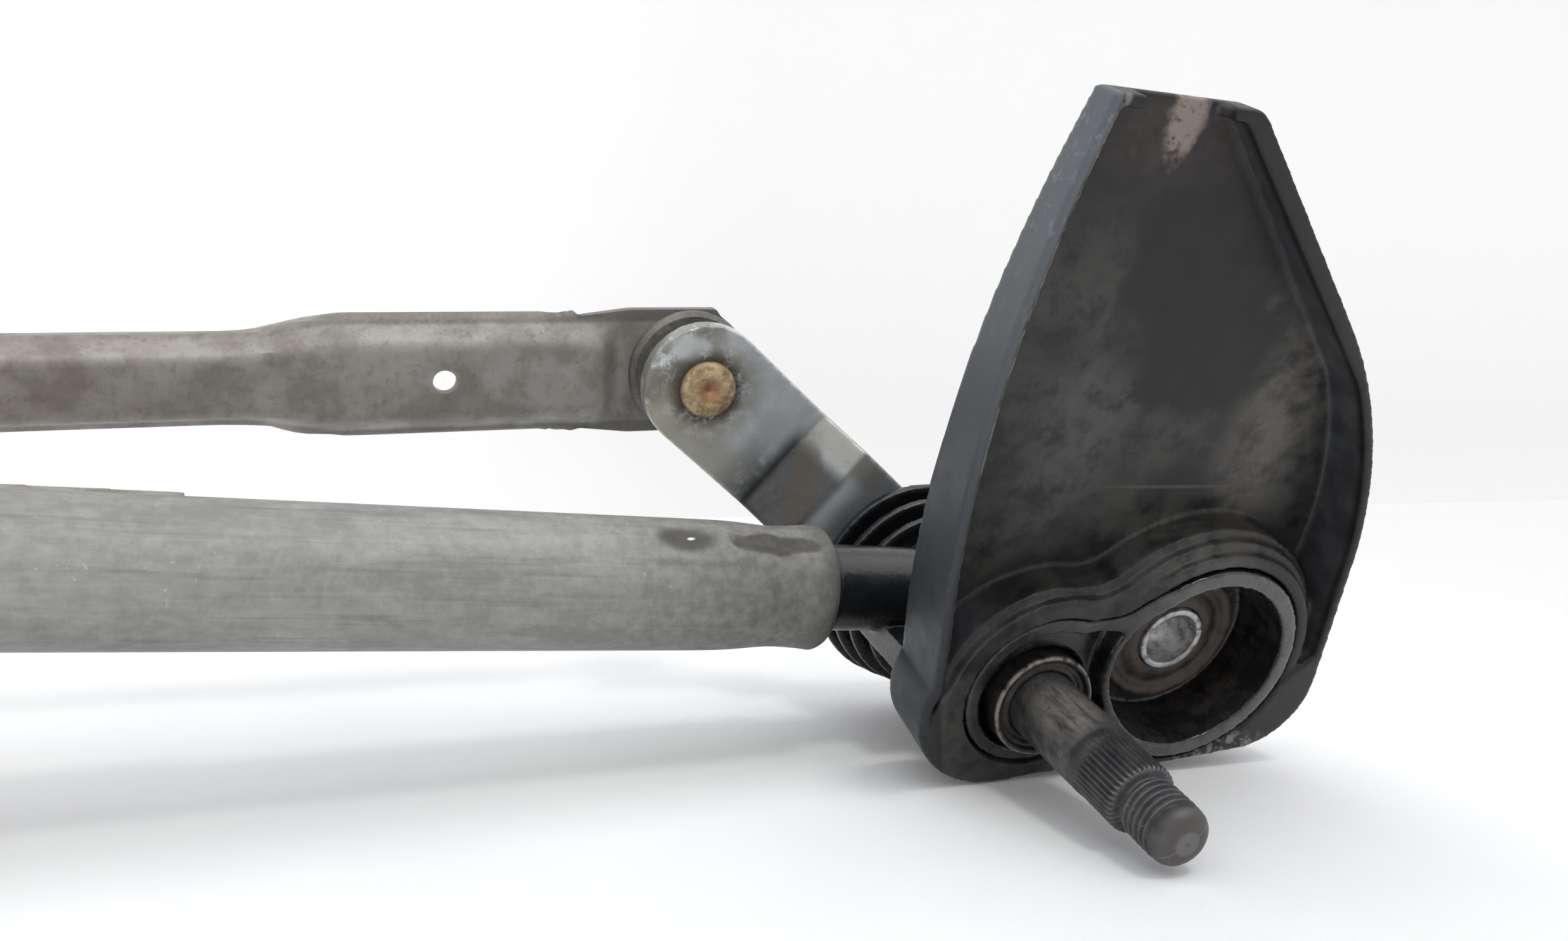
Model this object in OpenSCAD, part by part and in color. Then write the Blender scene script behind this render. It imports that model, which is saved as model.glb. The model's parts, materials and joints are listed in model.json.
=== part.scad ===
// Windscreen-wiper linkage pivot end: crimped frame tube, cast pivot housing with a
// figure-eight collar, sealing dish, splined wiper spindle, crank lever and drive link.

/* [Spindle] */
// Diameter of the plain spindle
spindle_d = 12; // [11.8:0.1:12.2]
// Outside diameter of the M10 thread at the tip
thread_d = 9.9; // [9.6:0.1:10]
// Length of spindle in front of the dust cap
spindle_reach = 38.2; // [34:0.2:42]
// Length of the plain stretch in front of the dust cap
shoulder_len = 18; // [16:0.5:19]
// Length of the knurled wiper-arm seat
knurl_len = 9.5; // [8:0.5:10]
// Pitch diameter of the knurled wiper-arm seat
knurl_d = 11.6; // [11.2:0.1:11.8]
// Radius of the dust cap
cap_r = 9.2; // [8.8:0.1:9.4]

/* [Housing] */
// Radius of the bearing barrel
barrel_r = 10.4; // [10:0.1:11]
// Distance from the dust cap's face to the housing's rear face
housing_back = 51; // [50:0.5:52]
// Radius of the largest rib, at the rear face
rear_rib_r = 20.6; // [19:0.2:22]
// Radius of the eye's bore, which holds the mounting grommet
eye_r = 16.2; // [15.8:0.1:16.4]
// Wall thickness of the collar round the spindle and the eye
collar_wall = 3; // [2.6:0.1:3.2]
// Sideways distance from the spindle to the eye
eye_x = 27.5; // [27:0.5:28]
// Height of the eye above the spindle
eye_z = 7.4; // [7:0.2:8]
// Tilt of the eye and the sealing dish from the spindle, in degrees
dish_tilt = 8; // [7:0.5:9]

/* [Tube] */
// Outside diameter of the frame tube
tube_d = 22; // [21.5:0.5:22.5]
// Wall thickness of the frame tube
tube_wall = 1.5; // [1.2:0.1:1.8]
// Length of the frame tube
tube_len = 195; // [190:5:220]

/* [Sealing dish] */
// Depth of the dish at its bottom, from its rim to the back of its floor
dish_depth = 15; // [14:0.5:15.5]
// Depth of the dish at its open top
dish_top_depth = 5.6; // [5:0.2:6.4]
// Wall thickness of the dish
dish_wall = 1.8; // [1.6:0.1:2.2]
// Height of the dish's open end above the spindle
dish_top = 99; // [96:1:102]

/* [Crank lever] */
// Distance from the spindle to the ball
crank_len = 56.3; // [54:0.5:58]
// Width of the crank strap
crank_w = 24; // [23:0.5:25]
// Thickness of the crank strap
crank_t = 4; // [3.5:0.5:4]
// Angle of the crank above the horizontal at rest, in degrees
crank_angle = 141; // [136:1:146]
// Diameter of the ball
ball_d = 14; // [13.5:0.5:14]

/* [Drive link] */
// Distance between the drive link's two ball sockets
link_len = 210; // [200:5:230]
// Sheet thickness of the drive link
link_t = 2; // [1.6:0.2:2.2]
// Slope of the drive link below the horizontal, in degrees
link_slope = 3; // [2:0.5:3.5]

/* [Motor bracket] */
// Sheet thickness of the motor bracket
bracket_t = 2.5; // [2:0.5:3]
// Pitch circle diameter of the three motor bolt holes
motor_pcd = 60; // [56:2:62]
// Diameter of each motor bolt hole
motor_hole_d = 6.6; // [6:0.2:7]

/* [Hidden] */
$fn = 64;

// The spindle lies along Y with its tip towards -Y, and the dust cap's front face is at
// Y = 0. rest_tilt lowers the tip, so that the assembly lies as it does on a bench.
rest_tilt = 13.8;
arm_seat_y = -(shoulder_len + knurl_len / 2);
spindle_r = spindle_d / 2;
run_gap = 0.04;
bush_r = 7.5;
bush_len = 12;
clip_y = 3.2;
seal_y = 5.4;
front_bush_y = 8;
rear_bush_y = housing_back - bush_len - 1;

// Stack behind the housing
rear_washer_y = housing_back + 0.1;
wave_y = rear_washer_y + 1.3;
hub_y = wave_y + 1.7;
ball_end_y = hub_y + 7.6;
ball_y = ball_end_y + crank_t + 9.5;
spindle_back = hub_y + crank_t + 1.5;

// Collar and dish, in the dish's own frame: its rim plane faces -Y
rim_y = -2;
floor_y = rim_y + dish_depth;
spindle_lobe_r = 14.4;
spindle_lobe_z = 2;
lobe_front_y = 1.4;
flange_y = lobe_front_y - 0.6;
eye_lobe_r = eye_r + collar_wall;
collar_gap = 0.4;
lip_wall = 2.4;
eye_floor_y = 10;
eye_floor_t = 3;
sleeve_r = 6.2;
sleeve_bore_r = 4.9;
sleeve_front_y = 6.5;
sleeve_len = 14;

// Tube frame: origin beside the spindle, +X along the tube towards the housing
tube_at = [-36.4, 30.6, 9.2];
tube_rise = 4.6;
tube_yaw = 2.9;
tube_end_x = 5.5;
tube_far_x = tube_end_x - tube_len;
tube_r = tube_d / 2;
crimp_len = 30;
crimp_r = tube_r - tube_wall - 0.2;
spigot_len = 28;
neck_r = 7.6;

// Motor bracket
trough_from = -95;
motor_y = 34.2;
motor_at = [-224, 2];
motor_boss_r = 11;
plate_left = -256;
plate_w = 66;
foot_back_y = 66;
floor_z = -14.8;

link_pad_y = ball_y - 1;
link_web_raise = 4;
socket_r = 12;

module posed() {
    rotate([rest_tilt, 0, 0]) translate([0, -arm_seat_y, 0]) children();
}

module along_y(y) {
    translate([0, y, 0]) rotate([-90, 0, 0]) children();
}

// Ring about the spindle axis, from y to y + len
module y_ring(y, len, r_out, r_in) {
    along_y(y) difference() {
        cylinder(r = r_out, h = len);
        translate([0, 0, -1]) cylinder(r = r_in, h = len + 2);
    }
}

// Draws in the dish's frame, and extrudes an X-Z outline from y0 to y1
module dish_frame() {
    rotate([dish_tilt, 0, 0]) children();
}

module xz_plate(y0, y1) {
    translate([0, y1, 0]) rotate([90, 0, 0]) linear_extrude(height = y1 - y0) children();
}

module tube_frame() {
    translate(tube_at) rotate([0, tube_rise, tube_yaw]) children();
}

module x_rod(x0, x1, r) {
    translate([x0, 0, 0]) rotate([0, 90, 0]) cylinder(r = r, h = x1 - x0);
}

module at_crank() {
    rotate([0, -crank_angle, 0]) children();
}

module at_ball() {
    translate([crank_len * cos(crank_angle), ball_y, crank_len * sin(crank_angle)]) children();
}

module at_link() {
    at_ball() rotate([0, 180 - link_slope, 0]) mirror([0, 0, 1]) children();
}

// Figure-eight outline round the spindle and the eye, grown by grow
module figure_eight(grow) {
    offset(r = -9) offset(r = 9) union() {
        translate([0, spindle_lobe_z]) circle(r = spindle_lobe_r + grow);
        translate([eye_x, eye_z]) circle(r = eye_lobe_r + grow);
    }
}

// Space in front of the spindle's lobe: its front stands at y, behind the eye's, and a
// ramp joins the two
module lobe_ramp(y) {
    translate([0, 0, -40]) linear_extrude(height = 80) polygon([
        [-40, rim_y - 2],
        [-40, y],
        [7, y],
        [17, rim_y],
        [17, rim_y - 2]]);
}

// Outline of the sealing dish: a long bulged left side, a right side that slopes out to
// a broad shoulder, and a flat open top
module dish_outline() {
    intersection() {
        translate([-40, -20]) square([100, dish_top + 20]);
        union() {
            translate([177, 49]) circle(r = 204, $fn = 360);
            translate([-5.8, 0.8]) circle(r = 17, $fn = 96);
        }
        hull() {
            translate([-5.8, 0.8]) circle(r = 17, $fn = 96);
            translate([41.5, 1.5]) circle(r = 13.2, $fn = 96);
            intersection() {
                translate([-21.3, 18]) circle(r = 74, $fn = 360);
                translate([10, 30]) square([60, 42]);
            }
            translate([-38, 45]) square([10, 30]);
            translate([-30, dish_top - 10]) square([2, 12]);
            translate([0.5, dish_top - 4.7]) circle(r = 4.9);
        }
    }
}

// Hollow of the dish, with a thicker right wall along its upper slope
module hollow_outline() {
    intersection() {
        union() {
            offset(r = -dish_wall) dish_outline();
            translate([-16, dish_top - 8]) square([14, 12]);
        }
        translate([0, dish_top - 1.5]) rotate([0, 0, -45]) translate([-100, -200])
            square([200, 200]);
    }
}

// Space from the rim plane back to the sloped floor, which is shift closer to the rim
module dish_space(shift) {
    slope = (dish_depth - dish_top_depth) / dish_top;
    translate([-60, 0, 0]) rotate([90, 0, 90]) linear_extrude(height = 140) polygon([
        [rim_y - 1, -20],
        [rim_y - 1, dish_top + 5],
        [rim_y + dish_top_depth - 5 * slope - shift, dish_top + 5],
        [rim_y + dish_depth + 20 * slope - shift, -20]]);
}

module frame_tube() {
    color([0.62, 0.62, 0.6]) posed() tube_frame() difference() {
        x_rod(tube_far_x, tube_end_x, tube_r);
        x_rod(tube_far_x - 1, tube_end_x - crimp_len, tube_r - tube_wall);
        // The crimped end is a little tighter
        x_rod(tube_end_x - crimp_len - 1, tube_end_x + 1, crimp_r);
    }
}

module motor_bracket() {
    bottom_z = (floor_z - motor_y * sin(rest_tilt)) / cos(rest_tilt);
    color([0.5, 0.49, 0.46]) posed() {
        // Half-round trough that holds the tube from behind
        tube_frame() difference() {
            x_rod(tube_far_x, trough_from, tube_r + bracket_t + 0.05);
            x_rod(tube_far_x - 1, trough_from + 1, tube_r + 0.05);
            translate([tube_far_x - 1, -30, -30]) cube([tube_len, 33, 60]);
            translate([tube_far_x - 1, 0, 8.5]) cube([tube_len, 30, 10]);
        }
        // Motor plate, square to the motor's shaft
        difference() {
            xz_plate(motor_y, motor_y + bracket_t) union() {
                translate(motor_at) circle(r = motor_pcd / 2 + 9);
                translate([plate_left, bottom_z]) square([plate_w, 28]);
                translate([plate_left + 14, 0]) square([plate_w - 14, 28]);
            }
            translate([motor_at[0], 0, motor_at[1]]) along_y(motor_y - 1) {
                cylinder(r = motor_boss_r, h = bracket_t + 2);
                for (turn = [30, 150, 270]) {
                    rotate([0, 0, turn]) translate([motor_pcd / 2, 0, 0])
                        cylinder(d = motor_hole_d, h = bracket_t + 2);
                }
            }
            translate([-300, 0, bottom_z - 30]) cube([200, 100, 30]);
        }
        // Foot, flat on the bench
        rotate([-rest_tilt, 0, 0])
            translate([plate_left, motor_y * cos(rest_tilt) - bottom_z * sin(rest_tilt), floor_z])
                cube([plate_w, foot_back_y - motor_y, bracket_t]);
    }
}

module spigot() {
    tube_frame() {
        x_rod(tube_end_x - spigot_len, tube_end_x + 1.5, crimp_r - 0.05);
        x_rod(tube_end_x, tube_end_x + 32, neck_r);
    }
}

module housing_ribs() {
    for (rib = [[0, 0], [4.4, 1.2], [8.8, 2.6], [13.2, 4.6]]) {
        along_y(housing_back - 2 - rib[0]) cylinder(r = rear_rib_r - rib[1], h = 2);
    }
    along_y(22) cylinder(r1 = barrel_r, r2 = rear_rib_r - 5, h = housing_back - 22.5);
}

module pivot_housing() {
    color([0.05, 0.05, 0.055]) posed() difference() {
        union() {
            dish_frame() {
                xz_plate(rim_y, eye_floor_y + eye_floor_t) figure_eight(0);
            }
            along_y(4) cylinder(r = barrel_r, h = housing_back - 4);
            housing_ribs();
            spigot();
            // Webs from the barrel to the eye's cup and to the spigot
            translate([0, 12, -2.5]) cube([26, 22, 5]);
            translate([-18, 18, -3]) cube([18, 22, 6]);
        }
        dish_frame() {
            lobe_ramp(lobe_front_y);
            // Eye cup and the grommet's seat
            translate([eye_x, 0, eye_z]) along_y(rim_y - 1)
                cylinder(r = eye_r, h = eye_floor_y - rim_y + 1);
            translate([eye_x, 0, eye_z]) along_y(0) cylinder(r = 10, h = 40);
            // Pocket round the spindle, with a corner that reaches up between the lobes
            xz_plate(rim_y - 1, seal_y - 1.4) difference() {
                union() {
                    translate([0, spindle_lobe_z]) circle(r = spindle_lobe_r - 2.6);
                    polygon([[2, 12.6], [11.4, 14.4], [14, 12], [12, -2], [0, 0]]);
                }
                translate([eye_x, eye_z]) circle(r = eye_r + 1.5);
            }
        }
        along_y(-5) cylinder(r = cap_r + 0.5, h = 10.5);
        along_y(-5) cylinder(r = spindle_r + 1, h = 80);
        along_y(front_bush_y - 4) cylinder(r = bush_r, h = bush_len + 4);
        along_y(rear_bush_y) cylinder(r = bush_r, h = bush_len + 10);
    }
}

module bush(y) {
    color([0.55, 0.4, 0.22]) posed() y_ring(y, bush_len, bush_r, spindle_r + run_gap);
}

module front_bush() {
    bush(front_bush_y);
}

module rear_bush() {
    bush(rear_bush_y);
}

module sealing_dish() {
    color([0.1, 0.1, 0.1]) posed() dish_frame() difference() {
        intersection() {
            dish_space(0);
            union() {
                difference() {
                    xz_plate(rim_y, floor_y + 3) dish_outline();
                    intersection() {
                        dish_space(dish_wall);
                        xz_plate(rim_y - 1, floor_y + 3) hollow_outline();
                    }
                }
                // Lip round the collar, which falls away to the floor in steps
                for (step = [[0, 0.5], [1.5, 2.4], [2.8, 4.4]]) {
                    xz_plate(rim_y + step[1], floor_y + 3) intersection() {
                        figure_eight(collar_gap + lip_wall + step[0]);
                        dish_outline();
                    }
                }
                // Flat flange below the spindle
                xz_plate(flange_y, floor_y + 3) intersection() {
                    translate([-2, -3]) circle(r = 18.4);
                    dish_outline();
                }
            }
        }
        xz_plate(rim_y - 1, floor_y + 4) figure_eight(collar_gap);
        intersection() {
            lobe_ramp(flange_y);
            xz_plate(rim_y - 2, floor_y) figure_eight(collar_gap + lip_wall + 1);
        }
        // The wall sinks to the flange round the lower left corner
        translate([-40, 0, 0]) rotate([90, 0, 90]) linear_extrude(height = 54) polygon([
            [rim_y - 2, -40],
            [flange_y, -40],
            [flange_y, -5],
            [rim_y, 14],
            [rim_y - 2, 14]]);
    }
}

module mount_grommet() {
    color([0.09, 0.07, 0.06]) posed() dish_frame() translate([eye_x, 0, eye_z]) difference() {
        union() {
            along_y(eye_floor_y - 3) cylinder(r = 13, h = 3);
            along_y(eye_floor_y - 0.5) cylinder(r = 10, h = eye_floor_t + 1);
            along_y(eye_floor_y + eye_floor_t) cylinder(r = 13, h = 3);
            along_y(eye_floor_y + eye_floor_t + 2.5) cylinder(r = 9.2, h = 2.5);
        }
        along_y(0) cylinder(r = sleeve_r, h = 40);
    }
}

module mount_sleeve() {
    color([0.75, 0.75, 0.76]) posed() dish_frame() translate([eye_x, 0, eye_z]) difference() {
        y_ring(sleeve_front_y, sleeve_len, sleeve_r, sleeve_bore_r);
        // Seam of the rolled sleeve
        rotate([0, -35, 0]) translate([0, 0, -0.3]) cube([10, 40, 0.6]);
    }
}

module shaft_seal() {
    color([0.06, 0.06, 0.06]) posed() y_ring(seal_y, 2.4, bush_r, spindle_r + run_gap);
}

module spindle() {
    groove_y = -(shoulder_len + knurl_len);
    color([0.16, 0.15, 0.14]) posed() {
        rotate([-90, 0, 0]) rotate_extrude() polygon([
            [0, -spindle_reach],
            [thread_d / 2 - 1, -spindle_reach],
            [thread_d / 2, -spindle_reach + 1.2],
            [thread_d / 2, groove_y - 1.2],
            [thread_d / 2 - 0.7, groove_y - 0.9],
            [thread_d / 2 - 0.7, groove_y],
            [knurl_d / 2, groove_y],
            [knurl_d / 2, -shoulder_len],
            [spindle_r, -shoulder_len + 0.4],
            [spindle_r, clip_y],
            [spindle_r - 0.8, clip_y],
            [spindle_r - 0.8, clip_y + 1],
            [spindle_r, clip_y + 1],
            [spindle_r, hub_y + crank_t],
            [spindle_r + 1.6, hub_y + crank_t],
            [spindle_r + 1, spindle_back],
            [0, spindle_back]]);
    }
}

module dust_cap() {
    color([0.12, 0.11, 0.1]) posed() difference() {
        rotate([-90, 0, 0]) rotate_extrude() polygon([
            [spindle_r, 1],
            [spindle_r + 1, 0.6],
            [cap_r - 1.4, 1],
            [cap_r - 1, 0],
            [cap_r - 0.3, 0],
            [cap_r, 0.5],
            [cap_r, 5],
            [cap_r - 0.8, 5],
            [cap_r - 0.8, 2.2],
            [spindle_r, 2.2]]);
    }
}

module retaining_clip() {
    color([0.3, 0.3, 0.3]) posed() difference() {
        y_ring(clip_y, 1, spindle_r + 1.8, spindle_r - 0.8);
        translate([-2, 0, 0]) cube([4, 10, 12]);
    }
}

module front_washer() {
    color([0.5, 0.5, 0.5]) posed() y_ring(clip_y + 1, 1, spindle_r + 1.9, spindle_r);
}

module rear_washer() {
    color([0.5, 0.5, 0.5]) posed() y_ring(rear_washer_y, 1.2, 11, spindle_r);
}

module wave_washer() {
    color([0.4, 0.4, 0.42]) posed() y_ring(wave_y, 1.6, 10, spindle_r);
}

// Strap outline along +X, from the spindle's end to the ball's end
module crank_outline() {
    circle(d = crank_w);
    translate([0, -crank_w / 2]) square([crank_len, crank_w]);
    translate([crank_len, 0]) circle(d = crank_w);
}

module crank_lever() {
    joggle_x = 26;
    joggle_len = 8;
    color([0.66, 0.65, 0.6]) posed() at_crank() difference() {
        intersection() {
            xz_plate(hub_y - 1, ball_end_y + crank_t + 1) crank_outline();
            translate([0, 0, -20]) linear_extrude(height = 40) polygon([
                [-20, hub_y],
                [joggle_x, hub_y],
                [joggle_x + joggle_len, ball_end_y],
                [crank_len + 20, ball_end_y],
                [crank_len + 20, ball_end_y + crank_t],
                [joggle_x + joggle_len - 1.5, ball_end_y + crank_t],
                [joggle_x - 1.5, hub_y + crank_t],
                [-20, hub_y + crank_t]]);
        }
        along_y(0) cylinder(r = spindle_r, h = 100);
        translate([crank_len, 0, 0]) along_y(0) cylinder(r = 4, h = 100);
    }
}

module ball_stud() {
    head_y = ball_end_y - ball_y;
    color([0.6, 0.48, 0.3]) posed() at_ball() {
        along_y(head_y - 1.8) cylinder(r1 = 4.9, r2 = 5.4, h = 0.6);
        along_y(head_y - 1.2) cylinder(r = 5.4, h = 1.2);
        along_y(head_y - 0.5) cylinder(r = 4, h = crank_t + 5);
        along_y(head_y + crank_t) cylinder(r = 6.2, h = 1.4);
        sphere(d = ball_d, $fn = 64);
    }
}

// Link outline along +X from the near ball: end pad, wide stretch, narrow channel
module link_outline() {
    pad_w = 12.2;
    wide = 10.4;
    narrow = 7.2;
    circle(r = pad_w);
    polygon([[-5, -pad_w], [14, -pad_w], [26, -wide], [66, -wide], [79, -narrow], [150, -narrow],
        [160, -pad_w], [link_len, -pad_w], [link_len, pad_w], [160, pad_w], [150, narrow],
        [79, narrow], [66, wide], [26, wide], [14, pad_w], [-5, pad_w]]);
    translate([link_len, 0]) circle(r = pad_w);
}

// Raised web of the link, grown by grow
module link_web(grow) {
    polygon([[19 - grow, -6 - grow], [66, -6.4 - grow], [79, -5 - grow], [152 + grow, -5 - grow],
        [152 + grow, 5 + grow], [79, 5 + grow], [66, 6.4 + grow], [19 - grow, 6 + grow]]);
}

module drive_link() {
    pad = link_pad_y - ball_y;
    color([0.45, 0.43, 0.39]) posed() at_link() difference() {
        union() {
            xz_plate(pad, pad + link_t) link_outline();
            xz_plate(pad - link_web_raise, pad + link_t) link_web(1);
            // Turned-back side flanges
            for (side = [-1, 1]) {
                xz_plate(pad, pad + 6) polygon([
                    [26, side * 10.4], [66, side * 10.4], [79, side * 7.2], [150, side * 7.2],
                    [150, side * (7.2 - link_t)], [79, side * (7.2 - link_t)],
                    [66, side * (10.4 - link_t)], [26, side * (10.4 - link_t)]]);
            }
        }
        xz_plate(pad - link_web_raise + link_t, pad + link_t + 1) link_web(-link_t + 1);
        along_y(-20) cylinder(r = 9.4, h = 40);
        translate([link_len, 0, 0]) along_y(-20) cylinder(r = 9.4, h = 40);
        translate([46.6, 0, 0]) along_y(-20) cylinder(d = 4.2, h = 40);
    }
}

// Snap-in ball socket: front flange, neck through the link's pad and closed dome
module socket() {
    seat_r = ball_d / 2 + run_gap + 0.03;
    rotate([-90, 0, 0]) rotate_extrude() polygon(concat(
        [[7, -3.2], [seat_r * cos(22), -seat_r * sin(22)]],
        [for (turn = [16:-7.5:-82]) [seat_r * cos(turn), -seat_r * sin(turn)]],
        [[0, seat_r], [0, 9.6], [7.4, 9.6], [9.35, 5.6], [9.35, link_t + 0.7],
        [10.2, link_t - 0.9], [9.35, link_t - 0.9], [9.35, -1], [socket_r, -1],
        [socket_r, -2.4], [11.2, -3.2]]));
}

module seal_ring() {
    y_ring(-4.6, 1.3, 8.6, 6.5);
}

module ball_socket() {
    color([0.36, 0.35, 0.32]) posed() at_link() socket();
}

module socket_seal() {
    color([0.1, 0.1, 0.1]) posed() at_link() seal_ring();
}

module far_socket() {
    color([0.36, 0.35, 0.32]) posed() at_link() translate([link_len, 0, 0]) socket();
}

module far_seal() {
    color([0.1, 0.1, 0.1]) posed() at_link() translate([link_len, 0, 0]) seal_ring();
}

frame_tube();
motor_bracket();
pivot_housing();
front_bush();
rear_bush();
sealing_dish();
mount_grommet();
mount_sleeve();
shaft_seal();
spindle();
dust_cap();
retaining_clip();
front_washer();
rear_washer();
wave_washer();
crank_lever();
ball_stud();
drive_link();
ball_socket();
socket_seal();
far_socket();
far_seal();
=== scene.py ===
"""Wiper linkage pivot end on a pale floor: worn materials and finer shapes on the CAD frame."""

import json
import math

import bmesh
import bpy
import numpy as np
from mathutils import Matrix, Vector


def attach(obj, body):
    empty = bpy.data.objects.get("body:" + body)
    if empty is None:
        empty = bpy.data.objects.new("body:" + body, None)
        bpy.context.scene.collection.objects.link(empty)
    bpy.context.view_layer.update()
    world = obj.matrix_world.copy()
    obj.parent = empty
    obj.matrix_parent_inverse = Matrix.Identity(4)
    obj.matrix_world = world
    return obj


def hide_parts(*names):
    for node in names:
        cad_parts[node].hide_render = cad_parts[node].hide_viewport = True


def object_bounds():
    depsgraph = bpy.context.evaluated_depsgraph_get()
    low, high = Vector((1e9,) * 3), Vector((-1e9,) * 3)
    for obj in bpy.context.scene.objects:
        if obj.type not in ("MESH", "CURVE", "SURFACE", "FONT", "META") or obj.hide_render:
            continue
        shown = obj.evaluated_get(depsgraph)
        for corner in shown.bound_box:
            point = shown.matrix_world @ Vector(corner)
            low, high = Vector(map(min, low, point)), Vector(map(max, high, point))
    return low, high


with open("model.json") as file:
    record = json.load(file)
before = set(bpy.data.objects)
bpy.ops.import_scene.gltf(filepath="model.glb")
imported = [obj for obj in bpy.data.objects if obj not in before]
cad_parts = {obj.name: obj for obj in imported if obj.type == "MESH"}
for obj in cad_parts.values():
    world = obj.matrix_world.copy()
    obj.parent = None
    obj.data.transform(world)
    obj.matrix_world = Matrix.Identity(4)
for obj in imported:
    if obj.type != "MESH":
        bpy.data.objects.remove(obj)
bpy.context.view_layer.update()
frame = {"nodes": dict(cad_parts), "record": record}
NODES = frame["nodes"]
SCENE = bpy.context.scene


# ---------------------------------------------------------------- frames (local mm -> metres)
def shift(x, y, z):
    return Matrix.Translation((x, y, z))


def turn(degrees, axis):
    return Matrix.Rotation(math.radians(degrees), 4, axis)


MM = 0.001
CRANK_LEN, CRANK_ANGLE = 56.3, 141.0  # spindle to ball in mm, and degrees above +X
BALL_AT = (
    CRANK_LEN * math.cos(math.radians(CRANK_ANGLE)),
    75.2,
    CRANK_LEN * math.sin(math.radians(CRANK_ANGLE)),
)
SPIN = Matrix.Scale(MM, 4) @ turn(13.8, "X") @ shift(0, 22.75, 0)
DISH = SPIN @ turn(8, "X")
EYE = DISH @ shift(27.5, 0, 7.4)
TUBE = SPIN @ shift(-36.4, 30.6, 9.2) @ turn(2.9, "Z") @ turn(4.6, "Y")
CRANK = SPIN @ turn(-CRANK_ANGLE, "Y")
BALL = SPIN @ shift(*BALL_AT)
LINK = BALL @ turn(177, "Y")


# The crimp's places along the tube, where the shape meets the stain on the pressed flat and the
# painted shade in the dent, and the angle of that stain and shade in radians from +Y towards +Z.
WAIST_X, PRESS_X, DENT_X = -3, -5, -21.5
STAIN_AND_SHADE_ANGLE = 1.96


# ---------------------------------------------------------------- materials
def rgb(r, g, b):
    """sRGB 0-255 to a linear colour."""
    lin = [
        (c / 255 / 12.92) if c < 10.3 else ((c / 255 + 0.055) / 1.055) ** 2.4
        for c in (r, g, b)
    ]
    return (*lin, 1.0)


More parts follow.
